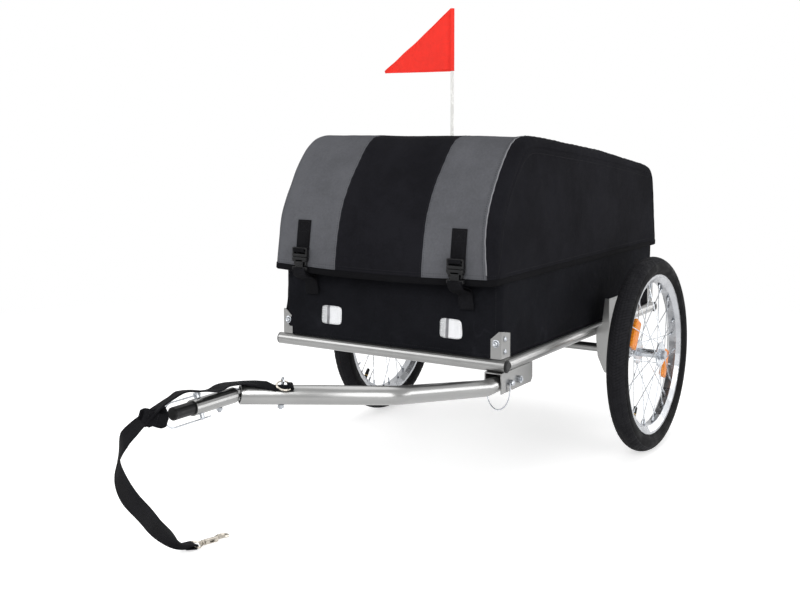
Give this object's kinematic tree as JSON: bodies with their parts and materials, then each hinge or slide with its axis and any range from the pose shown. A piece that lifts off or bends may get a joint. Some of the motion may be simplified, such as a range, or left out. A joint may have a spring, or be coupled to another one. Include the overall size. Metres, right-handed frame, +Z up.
{
  "type": "bicycle cargo trailer",
  "caption": "Spoked-wheel bicycle cargo trailer with a fabric tub, hinged hood cover, folding offset towbar, swivelling coupler, safety strap and flag.",
  "frame": {"origin": "middle of the trailer's footprint on the ground, without the free safety strap and its hook", "axes": "+Z up, -Y the way the trailer is towed, +X the trailer's left side; wheels stand on z = 0"},
  "size_m": [0.812, 1.4624, 0.962],
  "materials": {
    "silver_paint": "satin silver paint",
    "zinc": "bright zinc plate",
    "rim_alloy": "bright rim",
    "tyre": "black rubber",
    "black_plastic": "moulded black",
    "floor_panel": "textured black panel",
    "black_fabric": "coated woven cloth",
    "cover_cloth": "grey and black coated woven cloth",
    "webbing": "woven webbing",
    "amber": "prismatic amber",
    "red_fabric": "bright red cloth",
    "white_plastic": "white glass-fibre rod"
  },
  "bodies": {
    "chassis": {"front_tube": "silver_paint", "rear_tube": "silver_paint", "side_tube_left": "silver_paint", "side_tube_right": "silver_paint", "axle_tube": "silver_paint", "end_cap_front_left": "black_plastic", "end_cap_front_right": "black_plastic", "end_cap_rear_left": "black_plastic", "end_cap_rear_right": "black_plastic", "wheel_bracket_left": "silver_paint", "wheel_bracket_right": "silver_paint", "corner_bracket_front_left": "silver_paint", "corner_bracket_front_right": "silver_paint", "corner_bracket_rear_left": "silver_paint", "corner_bracket_rear_right": "silver_paint", "floor_board": "floor_panel", "tub_frame": "silver_paint", "tub_fabric": "black_fabric", "buckle_socket_left": "black_plastic", "buckle_socket_right": "black_plastic", "hinge_clip_left": "zinc", "hinge_clip_right": "zinc", "wheel_axle_left": "zinc", "wheel_axle_right": "zinc", "flag_socket": "black_plastic", "towbar_bracket": "silver_paint", "towbar_pivot_bolt": "zinc"},
    "cover": {"cover_fabric": "cover_cloth", "cover_frame": "silver_paint", "upper_strap_left": "webbing", "upper_strap_right": "webbing", "buckle_plug_left": "black_plastic", "buckle_plug_right": "black_plastic"},
    "flag": {"flag_pole": "white_plastic", "flag_pennant": "red_fabric"},
    "towbar": {"towbar_tube": "silver_paint", "knuckle_pin": "zinc", "d_ring_bolt": "zinc", "d_ring": "zinc", "safety_strap": "webbing", "strap_eye": "zinc"},
    "bracket_pin": {"bracket_pin": "zinc"},
    "bracket_bail": {"bracket_bail": "zinc"},
    "coupler": {"coupler_sleeve": "silver_paint", "hitch_rod": "black_plastic", "coupler_bolt": "zinc"},
    "coupler_pin": {"coupler_pin": "zinc"},
    "coupler_bail": {"coupler_bail": "zinc"},
    "snap_hook": {"snap_hook": "zinc"},
    "snap_bolt": {"snap_bolt": "zinc"},
    "wheel_left": {"tyre_left": "tyre", "rim_left": "rim_alloy", "hub_and_spokes_left": "zinc", "reflector_left_front": "amber", "reflector_left_rear": "amber"},
    "wheel_right": {"tyre_right": "tyre", "rim_right": "rim_alloy", "hub_and_spokes_right": "zinc", "reflector_right_front": "amber", "reflector_right_rear": "amber"}
  },
  "joints": [
    {"name": "wheel_left_spin", "type": "hinge", "parent": "chassis", "child": "wheel_left", "pos_m": [0.37085, 0.4302, 0.2], "axis": [1, 0, 0], "continuous": true},
    {"name": "wheel_right_spin", "type": "hinge", "parent": "chassis", "child": "wheel_right", "pos_m": [-0.27915, 0.4302, 0.2], "axis": [1, 0, 0], "continuous": true},
    {"name": "cover_hinge", "type": "hinge", "parent": "chassis", "child": "cover", "pos_m": [0.04585, 0.6977, 0.397], "axis": [-1, 0, 0], "range_deg": [0, 100]},
    {"name": "flag_lift", "type": "slide", "parent": "chassis", "child": "flag", "axis": [0, 0, 1], "range_m": [0, 0.12]},
    {"name": "towbar_fold", "type": "hinge", "parent": "chassis", "child": "towbar", "pos_m": [0.27155, -0.0108, 0.2225], "axis": [1, 0, 0], "range_deg": [0, 100]},
    {"name": "bracket_pin_pull", "type": "slide", "parent": "towbar", "child": "bracket_pin", "axis": [1, 0, 0], "range_m": [0, 0.045]},
    {"name": "bracket_bail_swing", "type": "hinge", "parent": "bracket_pin", "child": "bracket_bail", "pos_m": [0.29185, -0.0438, 0.2225], "axis": [0, -1, 0], "range_deg": [0, 100]},
    {"name": "coupler_swivel", "type": "hinge", "parent": "towbar", "child": "coupler", "pos_m": [0.11985, -0.5718, 0.2895], "axis": [0, 0, 1], "range_deg": [-80, 4]},
    {"name": "coupler_pin_pull", "type": "slide", "parent": "coupler", "child": "coupler_pin", "axis": [-0.3256, 0, 0.9455], "range_m": [0, 0.032]},
    {"name": "coupler_bail_swing", "type": "hinge", "parent": "coupler_pin", "child": "coupler_bail", "pos_m": [0.115, -0.6466, 0.30359], "axis": [0, 1, 0], "range_deg": [0, 100]},
    {"name": "snap_hook_swivel", "type": "hinge", "parent": "towbar", "child": "snap_hook", "pos_m": [-0.05315, -0.4778, 0.0048], "axis": [0.309, 0.9511, 0], "continuous": true},
    {"name": "snap_bolt_slide", "type": "slide", "parent": "snap_hook", "child": "snap_bolt", "axis": [-0.309, -0.9511, 0], "range_m": [0, 0.0055], "stiffness_N_per_m": 80, "springref_m": -0.004}
  ],
  "couplings": [
    {"joint": "coupler_bail_swing", "follows": "coupler_pin_pull", "rad_per_m": 54.5}
  ]
}
